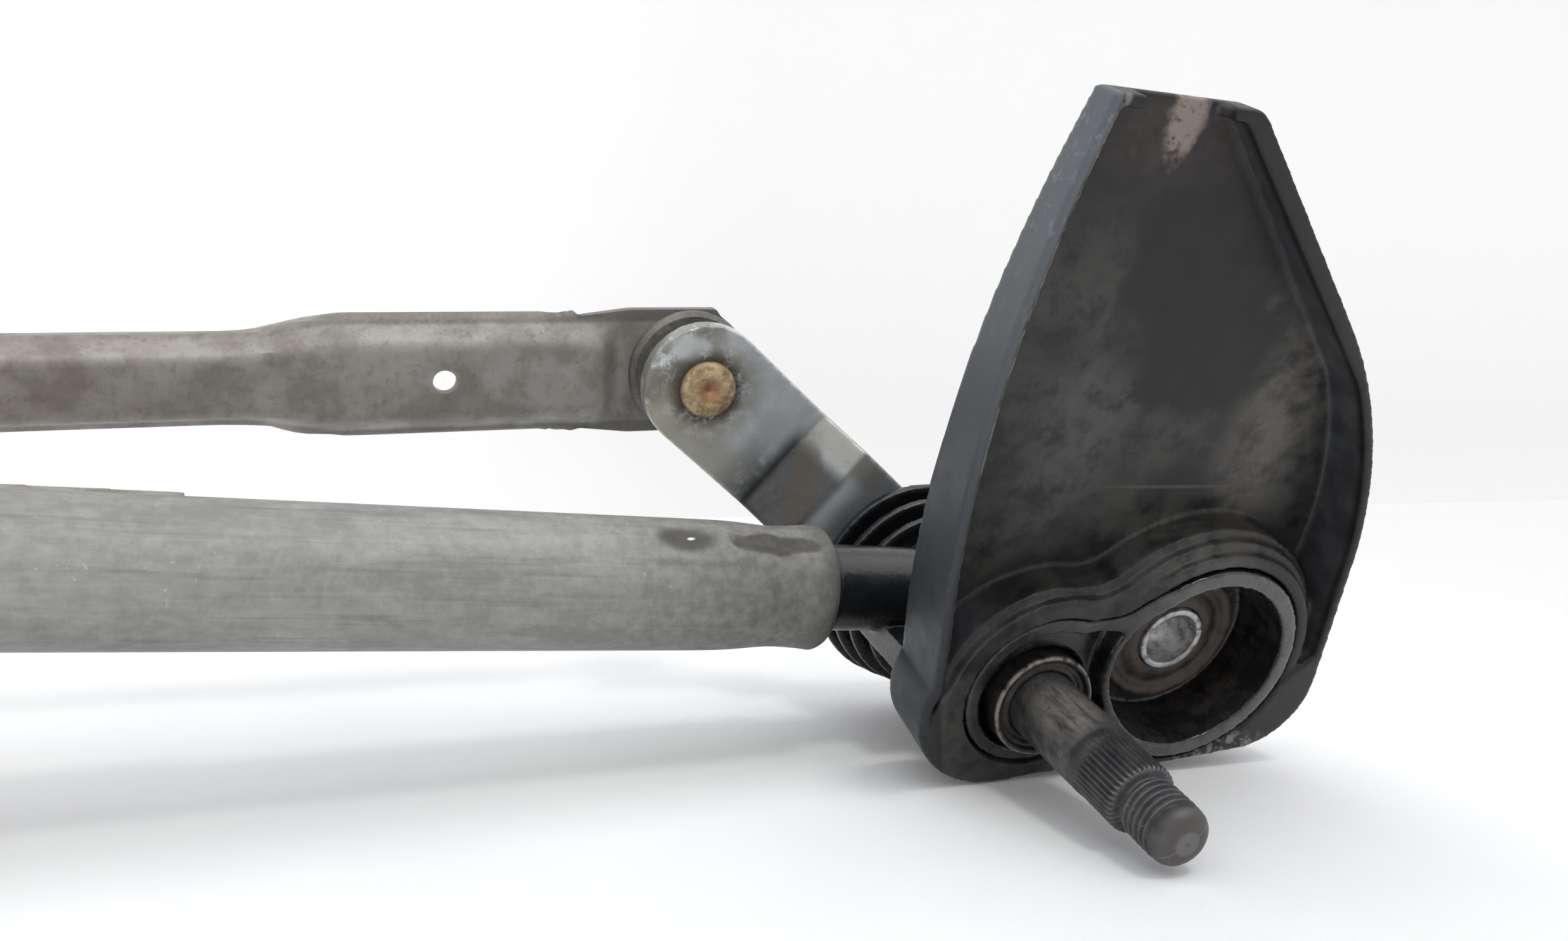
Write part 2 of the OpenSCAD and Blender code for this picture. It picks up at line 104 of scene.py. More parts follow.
class Mat:
    """A small builder: positions are in mm in the given frame."""

    def __init__(self, name, where=SPIN):
        self.mat = bpy.data.materials.new(name)
        self.mat.use_nodes = True
        self.tree = self.mat.node_tree
        self.tree.nodes.clear()
        out = self.tree.nodes.new("ShaderNodeOutputMaterial")
        self.bsdf = self.tree.nodes.new("ShaderNodeBsdfPrincipled")
        self.tree.links.new(self.bsdf.outputs[0], out.inputs[0])
        coord = self.tree.nodes.new("ShaderNodeTexCoord")
        inverse = where.inverted()
        scale = 1 / MM
        spin = inverse.to_3x3() * MM
        mapping = self.node("ShaderNodeMapping", {0: coord.outputs["Object"]})
        mapping.inputs["Scale"].default_value = (scale, scale, scale)
        mapping.inputs["Rotation"].default_value = spin.to_euler("XYZ")
        mapping.inputs["Location"].default_value = inverse.to_translation()
        self.pos = mapping.outputs[0]
        split = self.node("ShaderNodeSeparateXYZ", {0: self.pos})
        self.x, self.y, self.z = split.outputs
        geometry = self.tree.nodes.new("ShaderNodeNewGeometry")
        self.edge = self.span(geometry.outputs["Pointiness"], 0.51, 0.56)
        self.normal = geometry.outputs["Normal"]

    def node(self, kind, inputs, **settings):
        made = self.tree.nodes.new(kind)
        for key, value in settings.items():
            setattr(made, key, value)
        for key, value in inputs.items():
            if isinstance(value, bpy.types.NodeSocket):
                self.tree.links.new(value, made.inputs[key])
            else:
                made.inputs[key].default_value = value
        return made

    def calc(self, operation, a, b=0.0):
        return self.node("ShaderNodeMath", {0: a, 1: b}, operation=operation).outputs[0]

    def less(self, a, b):
        return self.calc("SUBTRACT", a, b)

    def weigh(self, a, share_a, b, share_b):
        """The weighted sum of two values."""
        return self.calc(
            "ADD", self.calc("MULTIPLY", a, share_a), self.calc("MULTIPLY", b, share_b)
        )

    def hypot(self, a, b):
        """The length of the vector (a, b)."""
        squares = self.calc("ADD", self.calc("POWER", a, 2.0), self.calc("POWER", b, 2.0))
        return self.calc("SQRT", squares)

    def stretch(self, x, y, z):
        """The position with each axis scaled, for noise drawn out along one of them."""
        inputs = {0: self.pos, 1: (x, y, z)}
        return self.node("ShaderNodeVectorMath", inputs, operation="MULTIPLY").outputs[0]

    def noise(self, size, detail=3.0, rough=0.55, vector=None, twist=0.0):
        """Noise with features about size mm across."""
        inputs = {
            "Vector": vector or self.pos,
            "Scale": 1.0 / size,
            "Detail": detail,
            "Roughness": rough,
            "Distortion": twist,
        }
        return self.node("ShaderNodeTexNoise", inputs).outputs[0]

    def span(self, value, start, end, low=0.0, high=1.0):
        """Goes smoothly from low at start to high at end."""
        inputs = {0: value, 1: start, 2: end, 3: low, 4: high}
        return self.node("ShaderNodeMapRange", inputs, interpolation_type="SMOOTHSTEP").outputs[0]

    def both(self, *masks):
        """The product of masks and weights."""
        total = masks[0]
        for mask in masks[1:]:
            total = self.calc("MULTIPLY", total, mask)
        return total

    def either(self, a, b):
        return self.calc("MAXIMUM", a, b)

    def without(self, mask):
        return self.less(1.0, mask)

    def mix(self, amount, a, b):
        made = self.tree.nodes.new("ShaderNodeMix")
        made.data_type = "RGBA"
        for index, value in ((0, amount), (6, a), (7, b)):
            if isinstance(value, bpy.types.NodeSocket):
                self.tree.links.new(value, made.inputs[index])
            else:
                made.inputs[index].default_value = value
        return made.outputs[2]

    def ground(self, mask, low, high):
        """Starts the surface's colour with a mix of two."""
        self.base = self.mix(mask, low, high)

    def over(self, colour, *masks):
        """Lays a colour over what is there, where all the masks agree."""
        self.base = self.mix(self.both(*masks), self.base, colour)

    def blob(self, u, v, at_u, at_v, size_u, size_v, tilt=0.0, soft=0.5, wobble=None):
        """1 inside an ellipse in the u-v plane, 0 outside, with a soft, uneven edge."""
        c, s = math.cos(math.radians(tilt)), math.sin(math.radians(tilt))
        du, dv = self.less(u, at_u), self.less(v, at_v)
        along = self.calc("DIVIDE", self.weigh(du, c, dv, s), size_u)
        across = self.calc("DIVIDE", self.weigh(dv, c, du, -s), size_v)
        reach = self.hypot(self.calc("ABSOLUTE", along), self.calc("ABSOLUTE", across))
        if wobble is not None:
            uneven = self.calc("MULTIPLY", self.less(wobble, 0.5), 0.9)
            reach = self.calc("ADD", reach, uneven)
        return self.span(reach, 1.0 + soft / 2, 1.0 - soft / 2)

    def facing(self, x, y, z, start=0.3, end=0.8):
        """1 where the surface faces the given way, for pieces that never move."""
        inputs = {0: self.normal, 1: Vector((x, y, z)).normalized()}
        made = self.node("ShaderNodeVectorMath", inputs, operation="DOT_PRODUCT")
        return self.span(made.outputs["Value"], start, end)

    def set(self, **values):
        """Sets or links the shader's sockets."""
        for key, value in values.items():
            socket = self.bsdf.inputs[key.replace("_", " ")]
            if isinstance(value, bpy.types.NodeSocket):
                self.tree.links.new(value, socket)
            else:
                socket.default_value = value

    def bump(self, height, depth):
        """Relief up to depth mm deep."""
        inputs = {"Strength": 1.0, "Distance": depth * MM, "Height": height}
        made = self.node("ShaderNodeBump", inputs)
        self.tree.links.new(made.outputs[0], self.bsdf.inputs["Normal"])


def steel(name, where, dark, light, metallic, rough, size=1.5, bumpy=0.05):
    """A plain worn surface: mottled between two colours, with uneven roughness."""
    m = Mat(name, where)
    coarse = m.noise(size * 4, 4, 0.6)
    fine = m.noise(size * 0.5, 4, 0.6)
    m.ground(m.span(m.weigh(coarse, 0.7, fine, 0.3), 0.35, 0.65), dark, light)
    m.set(Base_Color=m.base, Metallic=metallic)
    m.set(Roughness=m.span(fine, 0.3, 0.7, rough - 0.08, rough + 0.1))
    m.bump(fine, bumpy)
    return m.mat


def galvanised():
    m = Mat("galvanised_steel", TUBE)
    patches = m.noise(8, 5, 0.6, m.stretch(0.35, 1, 1), 0.3)
    mottle = m.noise(2.2, 5, 0.7)
    speck = m.noise(0.9, 3, 0.6)
    streak = m.noise(2.0, 4, 0.65, m.stretch(0.05, 1, 1))
    blend = m.weigh(patches, 0.6, mottle, 0.4)
    m.ground(m.span(blend, 0.36, 0.66), rgb(126, 126, 123), rgb(156, 156, 152))
    m.over(rgb(98, 98, 96), m.span(streak, 0.52, 0.68), 0.36)
    brushed = m.noise(0.8, 4, 0.6, m.stretch(0.03, 1, 1))
    m.over(rgb(172, 173, 174), m.span(brushed, 0.54, 0.68), 0.18)
    m.over(rgb(196, 196, 192), m.span(speck, 0.64, 0.72), m.span(patches, 0.45, 0.6), 0.55)
    tint = m.mix(m.span(mottle, 0.35, 0.65), rgb(94, 94, 89), rgb(122, 122, 115))
    m.over(tint, m.span(m.x, -50, -2), 0.8)
    m.over(rgb(60, 60, 55), m.span(m.x, 0.5, 5.0), 0.65)
    angle = m.calc("ARCTAN2", m.z, m.y)
    press = m.blob(m.x, angle, PRESS_X, STAIN_AND_SHADE_ANGLE, 8, 0.26, 0, 0.35, m.noise(5, 2))
    m.over(m.mix(m.span(mottle, 0.35, 0.6), rgb(46, 42, 36), rgb(66, 61, 54)), press, 0.9)
    # painted shade: the dent is darkened where shade falls in the hollow
    dent = m.blob(m.x, angle, DENT_X, STAIN_AND_SHADE_ANGLE, 5.0, 0.26, 0, 0.6)
    m.over(rgb(58, 55, 52), dent, 0.8)
    glint = m.blob(m.x, angle, -20.4, 1.9, 0.55, 0.035, 0, 1.0, mottle)
    m.over(rgb(240, 240, 238), glint, 0.9)
    grime = m.both(m.span(m.noise(16, 4, 0.65, m.stretch(0.35, 1, 1)), 0.54, 0.7), 0.35)
    m.over(rgb(100, 98, 92), grime)
    m.set(Base_Color=m.base, Metallic=0.22, Roughness=m.span(patches, 0.3, 0.7, 0.5, 0.64))
    m.bump(m.weigh(mottle, 0.6, speck, 0.4), 0.1)
    return m.mat


def link_steel():
    m = Mat("passivated_steel", LINK)
    patches = m.noise(9, 5, 0.62)
    fine = m.noise(0.7, 4, 0.6)
    mottle = m.noise(2.4, 5, 0.7)
    m.ground(m.span(patches, 0.35, 0.65), rgb(124, 120, 114), rgb(152, 149, 143))
    m.over(rgb(98, 92, 84), m.span(mottle, 0.52, 0.66), 0.4)
    m.over(rgb(176, 173, 167), m.edge, 0.25)
    fold = m.both(m.span(m.calc("ABSOLUTE", m.z), 9.4, 10.2), m.span(m.x, 70, 64), 0.6)
    m.over(rgb(92, 89, 85), fold)
    rust = m.both(m.span(m.noise(1.6, 5, 0.7), 0.66, 0.72), m.span(patches, 0.45, 0.6), 0.8)
    m.over(rgb(112, 72, 44), rust)
    warm = m.both(m.span(m.x, 40, 150), m.span(mottle, 0.4, 0.6), 0.35)
    m.over(rgb(134, 112, 98), warm)
    m.over(rgb(70, 66, 60), m.span(fine, 0.62, 0.72), 0.3)
    m.set(Base_Color=m.base, Metallic=0.3, Roughness=m.span(fine, 0.3, 0.7, 0.48, 0.62))
    m.bump(m.weigh(mottle, 0.6, fine, 0.4), 0.08)
    return m.mat


def zinc():
    m = Mat("zinc_plate", CRANK)
    cloud = m.noise(9, 4, 0.6, None, 0.5)
    fine = m.noise(0.8, 3, 0.6, m.stretch(0.3, 1, 1))
    mottle = m.noise(2.6, 5, 0.7)
    m.ground(m.span(cloud, 0.35, 0.65), rgb(186, 191, 194), rgb(212, 217, 220))
    away = m.less(m.x, CRANK_LEN)
    radius = m.hypot(away, m.z)
    low_side = m.both(m.span(m.z, 2, 8), m.span(m.x, 36, 42), 0.7)
    m.over(rgb(180, 178, 160), low_side)
    halo = m.both(m.span(radius, 13, 7), m.span(mottle, 0.3, 0.55), 0.65)
    m.over(rgb(140, 130, 104), halo)
    far_rim = m.both(m.span(away, 3, 8), m.span(mottle, 0.3, 0.5), 0.8)
    m.over(rgb(112, 108, 96), far_rim)
    bare = m.both(m.blob(away, m.z, 7.6, -3.5, 3.8, 2.6, 35, 0.7, mottle), 0.85)
    m.over(rgb(204, 207, 208), bare)
    m.over(rgb(52, 42, 34), m.span(radius, 8.6, 5.6), m.span(mottle, 0.25, 0.5), 0.85)
    # painted reflection: the bent facet is painted dark as if it mirrored something dark
    bend = m.both(m.span(m.x, 38, 34.5), m.span(m.x, 24, 26.5))
    stain_and_dark_reflection = m.mix(m.span(mottle, 0.4, 0.6), rgb(27, 25, 22), rgb(44, 41, 36))
    m.over(stain_and_dark_reflection, bend, m.span(m.z, -9, -3), 0.9)
    # the painted dark reflection reaches onto the flat beside the bend
    spread = m.both(m.span(m.x, 45, 36), m.span(m.x, 33, 35), m.span(m.z, -4, 5))
    m.over(stain_and_dark_reflection, spread, m.span(mottle, 0.25, 0.55), 0.6)
    # a browner wedge inside the painted dark reflection on the bend
    wedge = m.both(bend, m.blob(m.x, m.z, 30, 0, 2.4, 9, 24, 0.5, mottle), 0.6)
    m.over(rgb(86, 78, 64), wedge)
    # painted reflection: the facet's lower corner is painted light as if it mirrored something
    # bright
    corner = m.both(m.span(m.x, 36, 33), m.span(m.x, 18, 22), m.span(m.z, -5, -8), 0.8)
    m.over(rgb(150, 150, 138), corner)
    m.over(rgb(74, 76, 76), m.span(m.x, 25, 19), 0.6)
    m.over(rgb(98, 94, 86), m.span(mottle, 0.62, 0.7), 0.25)
    m.set(Base_Color=m.base, Metallic=0.35, Roughness=m.span(m.noise(6, 3), 0.3, 0.7, 0.28, 0.42))
    m.bump(m.weigh(cloud, 1.6, fine, 0.15), 0.1)
    return m.mat


def rivet_zinc():
    m = Mat("yellow_zinc", BALL)
    radius = m.hypot(m.x, m.z)
    cloud = m.noise(1.6, 4, 0.65)
    m.ground(m.span(cloud, 0.35, 0.65), rgb(150, 124, 92), rgb(202, 180, 140))
    m.over(rgb(168, 106, 72), m.span(radius, 3.2, 1.0), m.span(cloud, 0.3, 0.55), 0.8)
    m.over(rgb(104, 84, 62), m.span(radius, 4.7, 5.4), 0.6)
    m.set(Base_Color=m.base, Metallic=0.3, Roughness=m.span(cloud, 0.3, 0.7, 0.4, 0.6))
    m.bump(cloud, 0.25)
    return m.mat


def casting():
    m = Mat("black_casting", SPIN)
    fine = m.noise(1.1, 4, 0.6)
    patch = m.noise(3, 5, 0.65)
    front = m.span(m.y, 12, 4)
    dust = m.both(m.span(m.noise(6, 5, 0.65), 0.42, 0.66), front, 0.5)
    m.ground(dust, rgb(18, 20, 22), rgb(66, 63, 59))
    eye_side = m.span(m.x, 6, 18)
    warm = m.both(eye_side, m.span(m.y, 1, 5), m.span(patch, 0.3, 0.7), 0.35)
    m.over(rgb(64, 54, 46), warm)
    face = m.both(eye_side, front, m.facing(0, -0.93, -0.37, 0.7, 0.95), 0.75)
    m.over(m.mix(m.span(patch, 0.35, 0.6), rgb(60, 61, 62), rgb(80, 80, 79)), face)
    wear = m.both(m.edge, front, eye_side, m.span(patch, 0.45, 0.65), 0.25)
    m.over(rgb(126, 124, 120), wear)
    m.set(Base_Color=m.base, Roughness=m.span(patch, 0.3, 0.7, 0.2, 0.34), Specular_IOR_Level=0.55)
    m.set(Coat_Weight=0.12, Coat_Roughness=0.15)
    m.bump(fine, 0.08)
    return m.mat


# the arc of the dish's left edge, in the dish's frame
LEFT_ARC_X, LEFT_ARC_Z, LEFT_ARC_R = 177.0, 49.0, 204.0


def dish_plastic():
    m = Mat("black_plastic", DISH)
    broad = m.noise(16, 5, 0.6, None, 0.4)
    patch = m.noise(5, 5, 0.65)
    mottle = m.noise(1.8, 5, 0.7)
    fine = m.noise(0.6, 3, 0.6)
    m.ground(m.span(patch, 0.3, 0.7), rgb(26, 26, 26), rgb(37, 36, 35))
    du, dv = m.less(m.x, LEFT_ARC_X), m.less(m.z, LEFT_ARC_Z)
    from_left = m.less(LEFT_ARC_R, m.hypot(du, dv))
    outside = m.span(from_left, 1.3, 0.9)
    inside = m.both(m.span(m.y, -1.4, 0.4), m.span(from_left, 1.4, 2.2))
    clean = m.either(
        m.blob(m.x, m.z, 7, 77, 14, 24, 0, 0.3, broad),
        m.blob(m.x, m.z, 13, 61, 15, 9.5, 0, 0.3, patch),
    )
    dust = m.both(m.span(broad, 0.3, 0.6), m.span(patch, 0.3, 0.6), m.span(m.z, 90, 70))
    dust = m.both(dust, m.without(m.both(clean, 0.95)), inside)
    m.over(rgb(78, 77, 73), dust, 0.45)
    m.over(rgb(22, 22, 22), clean, inside, 0.7)
    cloudy = m.weigh(m.span(patch, 0.3, 0.65), 0.75, m.span(mottle, 0.35, 0.65), 0.25)
    left = m.both(m.blob(m.x, m.z, -5, 47, 7.5, 16, 0, 1.2, broad), cloudy, inside)
    m.over(rgb(84, 88, 84), left, 0.5)
    aside = m.both(m.blob(m.x, m.z, 32, 50, 7, 17, 0, 1.2, broad), cloudy, inside)
    m.over(rgb(112, 106, 98), aside, 0.55)
    top = m.blob(m.x, m.z, -6.2, 96.5, 2.8, 5.6, 0, 0.6, m.noise(2, 4, 0.6))
    m.over(rgb(146, 134, 126), top, m.span(mottle, 0.3, 0.5), 0.8)
    band = m.both(m.blob(m.x, m.z, -6, 93, 14, 6, 0, 0.8, patch), cloudy, inside)
    m.over(rgb(90, 72, 62), band, 0.25)
    # painted light: the inner face of the right wall, which faces left, is lightened as if lit
    right_wall = m.both(m.facing(-1, -0.1, -0.1, 0.45, 0.75), inside)
    m.over(m.mix(m.span(patch, 0.35, 0.65), rgb(58, 59, 61), rgb(74, 75, 78)), right_wall, 0.9)
    line = m.both(m.blob(m.x, m.z, 16, 37.4, 11, 0.3, 0, 1.2), 0.5)
    m.over(rgb(92, 90, 86), line)
    m.over(m.mix(m.span(m.z, 0, 95), rgb(36, 39, 43), rgb(96, 101, 105)), outside, 0.8)
    scuff = m.both(outside, m.span(m.z, 55, 95), m.span(m.noise(2.0, 5, 0.7), 0.52, 0.66))
    m.over(rgb(140, 142, 144), scuff, 0.4)
    nick = m.both(m.span(from_left, 1.0, 1.5), m.span(from_left, 2.6, 2.0))
    nick = m.both(nick, m.span(m.y, -1.0, -1.6), m.span(m.z, 20, 60))
    nick = m.both(nick, m.span(m.noise(3, 5, 0.7), 0.4, 0.6))
    m.over(rgb(128, 126, 124), nick, 0.7)
    lip = m.both(m.blob(m.x, m.z, 22, 26, 10, 6, 0, 0.9, patch), cloudy, 0.5)
    m.over(rgb(98, 96, 92), lip)
    low = m.both(m.blob(m.x, m.z, 38, -11.5, 9, 3.5, 8, 0.8, patch), m.span(mottle, 0.44, 0.6))
    m.over(rgb(160, 157, 153), low, 0.55)
    m.set(Base_Color=m.base, Roughness=m.span(patch, 0.3, 0.7, 0.34, 0.5), Specular_IOR_Level=0.3)
    m.bump(m.weigh(patch, 0.5, fine, 0.25), 0.12)
    return m.mat


def rubber(name, where, dark, light, rough):
    m = Mat(name, where)
    patch = m.noise(3, 5, 0.65)
    m.ground(m.span(patch, 0.35, 0.65), dark, light)
    m.set(Base_Color=m.base, Roughness=m.span(patch, 0.3, 0.7, rough - 0.1, rough + 0.08))
    m.bump(m.noise(0.7, 4, 0.6), 0.1)
    return m.mat


def spindle_steel():
    m = Mat("dark_steel", SPIN)
    ring = m.noise(0.9, 3, 0.6, m.stretch(0.12, 1, 0.12))
    patch = m.noise(3.5, 5, 0.65)
    along = m.noise(2.0, 4, 0.65, m.stretch(1, 0.2, 1))
    m.ground(m.span(patch, 0.35, 0.66), rgb(64, 64, 64), rgb(104, 102, 99))
    shoulder = m.span(m.y, -17.4, -15.6)
    angle = m.calc("ARCTAN2", m.z, m.x)
    lit = m.blob(m.y, angle, -9, 2.1, 6.5, 0.75, 0, 1.0, patch)
    m.over(rgb(176, 172, 166), lit, shoulder, m.span(along, 0.3, 0.6), 0.7)
    m.over(rgb(46, 41, 38), shoulder, m.span(along, 0.52, 0.66), 0.6)
    m.over(rgb(48, 50, 54), m.without(shoulder), 0.6)
    m.over(rgb(88, 82, 78), m.span(m.y, -36.6, -37.4), 0.6)
    m.over(rgb(140, 140, 142), m.edge, 0.3)
    grime = m.both(m.span(m.noise(2, 4, 0.7), 0.58, 0.66), m.span(m.y, -37.2, -36), 0.4)
    m.over(rgb(38, 36, 35), grime)
    m.set(Base_Color=m.base, Metallic=0.5, Roughness=m.span(ring, 0.3, 0.7, 0.36, 0.52))
    m.bump(m.weigh(ring, 0.4, patch, 0.2), 0.05)
    return m.mat


def cap_paint():
    m = Mat("dark_cap", SPIN)
    radius = m.hypot(m.x, m.z)
    patch = m.noise(2.4, 5, 0.65)
    m.ground(m.span(patch, 0.35, 0.66), rgb(26, 25, 25), rgb(58, 54, 50))
    edge = m.both(m.span(radius, 8.5, 8.9), m.span(m.y, 0.9, 0.3), m.span(patch, 0.35, 0.55))
    m.over(rgb(150, 144, 136), edge, 0.7)
    m.set(Base_Color=m.base, Metallic=0.3, Roughness=m.span(patch, 0.3, 0.7, 0.32, 0.5))
    m.bump(patch, 0.08)
    return m.mat


def sleeve_metal():
    m = Mat("bright_sleeve", EYE)
    ring = m.noise(1.2, 4, 0.6, m.stretch(1, 0.2, 1))
    stain_and_dark_reflection = m.noise(2.5, 4, 0.65)
    m.ground(m.span(stain_and_dark_reflection, 0.4, 0.66), rgb(196, 196, 197), rgb(126, 121, 116))
    m.set(Base_Color=m.base, Metallic=0.55, Roughness=m.span(ring, 0.3, 0.7, 0.28, 0.45))
    m.bump(ring, 0.06)
    return m.mat


BRONZE = rgb(120, 92, 58), rgb(156, 124, 80)
SPRING = rgb(82, 82, 84), rgb(128, 128, 130)
WASHER = rgb(120, 118, 114), rgb(160, 158, 153)
SOCKET = rgb(92, 90, 84), rgb(128, 125, 116)
FINISH = {
    "galvanised_steel": galvanised(),
    "passivated_steel": link_steel(),
    "black_casting": casting(),
    "sintered_bronze": steel("sintered_bronze", SPIN, *BRONZE, 0.7, 0.45),
    "black_plastic": dish_plastic(),
    "brown_black_rubber": rubber("brown_black_rubber", EYE, rgb(36, 31, 29), rgb(72, 60, 50), 0.5),
    "bright_sleeve": sleeve_metal(),
    "seal_rubber": rubber("seal_rubber", SPIN, rgb(24, 24, 24), rgb(46, 45, 44), 0.6),
    "dark_steel": spindle_steel(),
    "dark_cap": cap_paint(),
    "spring_steel": steel("spring_steel", SPIN, *SPRING, 0.8, 0.35),
    "washer_steel": steel("washer_steel", SPIN, *WASHER, 0.8, 0.35),
    "zinc_plate": zinc(),
    "yellow_zinc": rivet_zinc(),
    "socket_plastic": steel("socket_plastic", BALL, *SOCKET, 0.15, 0.5, 2.0, 0.15),
}
SLOT_OF = {s["node"]: s["material_slot"] for s in frame["record"]["subparts"]}
BODY_OF = {n: b for b, ns in frame["record"]["behaviour"]["bodies"].items() for n in ns}
for node, obj in NODES.items():
    for place in obj.material_slots:
        place.material = FINISH[SLOT_OF[node]]


# ---------------------------------------------------------------- mesh helpers
def bake(obj):
    """Applies obj's modifiers and returns it."""
    graph = bpy.context.evaluated_depsgraph_get()
    made = bpy.data.meshes.new_from_object(obj.evaluated_get(graph))
    old = obj.data
    obj.modifiers.clear()
    obj.data = made
    bpy.data.meshes.remove(old)
    return obj


def add(name, data):
    """Makes an object of a mesh, light or camera and links it to the scene."""
    obj = bpy.data.objects.new(name, data)
    SCENE.collection.objects.link(obj)
    return obj


def adopt(obj, node):
    """Shows obj in place of a CAD node, on the node's body and with its finish."""
    obj.data.polygons.foreach_set("use_smooth", [True] * len(obj.data.polygons))
    obj.data.materials.clear()
    obj.data.materials.append(FINISH[SLOT_OF[node]])
    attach(obj, BODY_OF[node])
    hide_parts(node)
    return obj


SAME_POINT, SAME_CAD_POINT = 1e-7, 2e-6


def weld(mesh, distance, recalc=False):
    """Merges points closer than distance metres."""
    work = bmesh.new()
    work.from_mesh(mesh)
    bmesh.ops.remove_doubles(work, verts=work.verts, dist=distance)
    if recalc:
        bmesh.ops.recalc_face_normals(work, faces=work.faces)
    work.to_mesh(mesh)
    work.free()
    return mesh


def smoothing(obj, passes):
    smooth = obj.modifiers.new("smooth", "SMOOTH")
    smooth.factor = 0.5
    smooth.iterations = passes


def mesh_from(name, points, faces, where):
    """points are mm in the frame where."""
    mesh = bpy.data.meshes.new(name)
    mesh.from_pydata([where @ Vector(p) for p in points], [], faces)
    return weld(mesh, SAME_POINT, recalc=True)


def ring_mesh(name, loops, where, closed_round=True):
    """One closed skin over loops of equally many points; the last loop joins the first.

    Open loops get a flat face over each of their two ends.
    """
    count = len(loops[0])
    points = [p for loop in loops for p in loop]
    faces = []
    for i in range(len(loops)):
        j = (i + 1) % len(loops)
        for k in range(count if closed_round else count - 1):
            n = (k + 1) % count
            faces.append((i * count + k, i * count + n, j * count + n, j * count + k))
    if not closed_round:
        faces.append(tuple(i * count for i in range(len(loops))))
        faces.append(tuple(i * count + count - 1 for i in reversed(range(len(loops)))))
    return mesh_from(name, points, faces, where)


ON_AXIS = 0.02  # a point nearer the axis than this stays a sharp corner


def rounded(profile, radius, steps=4):
    """Rounds the corners of a closed (y, r) profile by up to radius mm."""
    out = []
    total = len(profile)
    for i, here in enumerate(profile):
        a, b = Vector(profile[i - 1]), Vector(profile[(i + 1) % total])
        p = Vector(here)
        if p.y < ON_AXIS:
            out.append((p.x, p.y))
            continue
        ra = min(radius, (a - p).length * 0.45)
        rb = min(radius, (b - p).length * 0.45)
        start, end = p + (a - p).normalized() * ra, p + (b - p).normalized() * rb
        for k in range(steps + 1):
            t = k / steps
            q = start * (1 - t) ** 2 + p * 2 * t * (1 - t) + end * t * t
            out.append((q.x, q.y))
    return out


def revolve(name, profile, where, steps=96, arc=360.0, first=0.0):
    """Turns a closed (y, radius) profile about the frame's Y axis."""
    whole = arc >= 360
    loops = []
    for y, r in profile:
        loop = []
        for k in range(steps if whole else steps + 1):
            a = math.radians(first + arc * k / steps)
            loop.append((r * math.cos(a), y, r * math.sin(a)))
        loops.append(loop)
    return ring_mesh(name, loops, where, whole)


def soften(node, name, voxel, passes):
    """The CAD node's own shape with its sharp corners rounded, on a fine even mesh."""
    obj = add(name, weld(NODES[node].data.copy(), SAME_CAD_POINT))
    remesh = obj.modifiers.new("even", "REMESH")
    remesh.mode = "VOXEL"
    remesh.voxel_size = voxel * MM
    smoothing(obj, passes)
    return bake(obj)


def smoothstep(a, b, t):
    """0 at a, 1 at b, and smooth between them."""
    t = min(1.0, max(0.0, (t - a) / (b - a)))
    return t * t * (3 - 2 * t)


# ---------------------------------------------------------------- frame tube with its crimp
TUBE_R, TUBE_WALL, TUBE_FAR, TUBE_END = 11, 1.5, -189.5, 5.5
MARK_SIDES = 107, 287  # the pressed marks are on opposite sides, in degrees from +Y towards +Z


def tube_radius(x, angle):
    """Outer radius at x along the tube and at an angle from +Y towards +Z, in degrees."""
    waist = math.exp(-(((x - WAIST_X) / 6.5) ** 2)) * smoothstep(TUBE_END, 2.5, x)
    r = TUBE_R - 0.62 * waist
    for side in MARK_SIDES:
        off = (angle - side + 180) % 360 - 180
        across = off * math.pi / 180 * TUBE_R
        flat = smoothstep(3.2, 1.6, abs(across)) * smoothstep(9.5, 6.5, abs(x - PRESS_X))
        dent = math.exp(-(((x - DENT_X) / 3.4) ** 2) - (across / 2.0) ** 2)
        r -= 0.5 * flat + 1.15 * dent
    return r - 0.5 * smoothstep(4.6, TUBE_END, x)


def make_tube():
    steps, mouth, flare = 144, 2, 0.1
    angles = [360 * k / steps for k in range(steps)]

    def loop(x, radii):
        turns = [math.radians(a) for a in angles]
        return [(x, r * math.cos(t), r * math.sin(t)) for r, t in zip(radii, turns)]

    outside = [*np.linspace(TUBE_FAR, -32, 26), *np.linspace(-31.2, TUBE_END, 74)]
    loops = [loop(x, [tube_radius(x, a) for a in angles]) for x in outside]
    for x in (TUBE_END, TUBE_END - mouth, TUBE_FAR + mouth, TUBE_FAR):
        r = TUBE_R - TUBE_WALL + (flare if x in (TUBE_END, TUBE_FAR) else 0)
        loops.append(loop(x, [r] * steps))
    adopt(add("crimped_tube", ring_mesh("crimped_tube", loops, TUBE)), "frame_tube")


make_tube()


# ---------------------------------------------------------------- drive link
LINK_LEN, PAD_R = 210.0, 12.2
LINK_SHEET, LINK_FLANGE, LINK_RAISED = 1.8, 5.0, 4  # thickness, edge depth, middle's height
LINK_HOLES = (0, 9.4), (46.6, 2.1), (LINK_LEN, 9.4)  # place along the link, radius
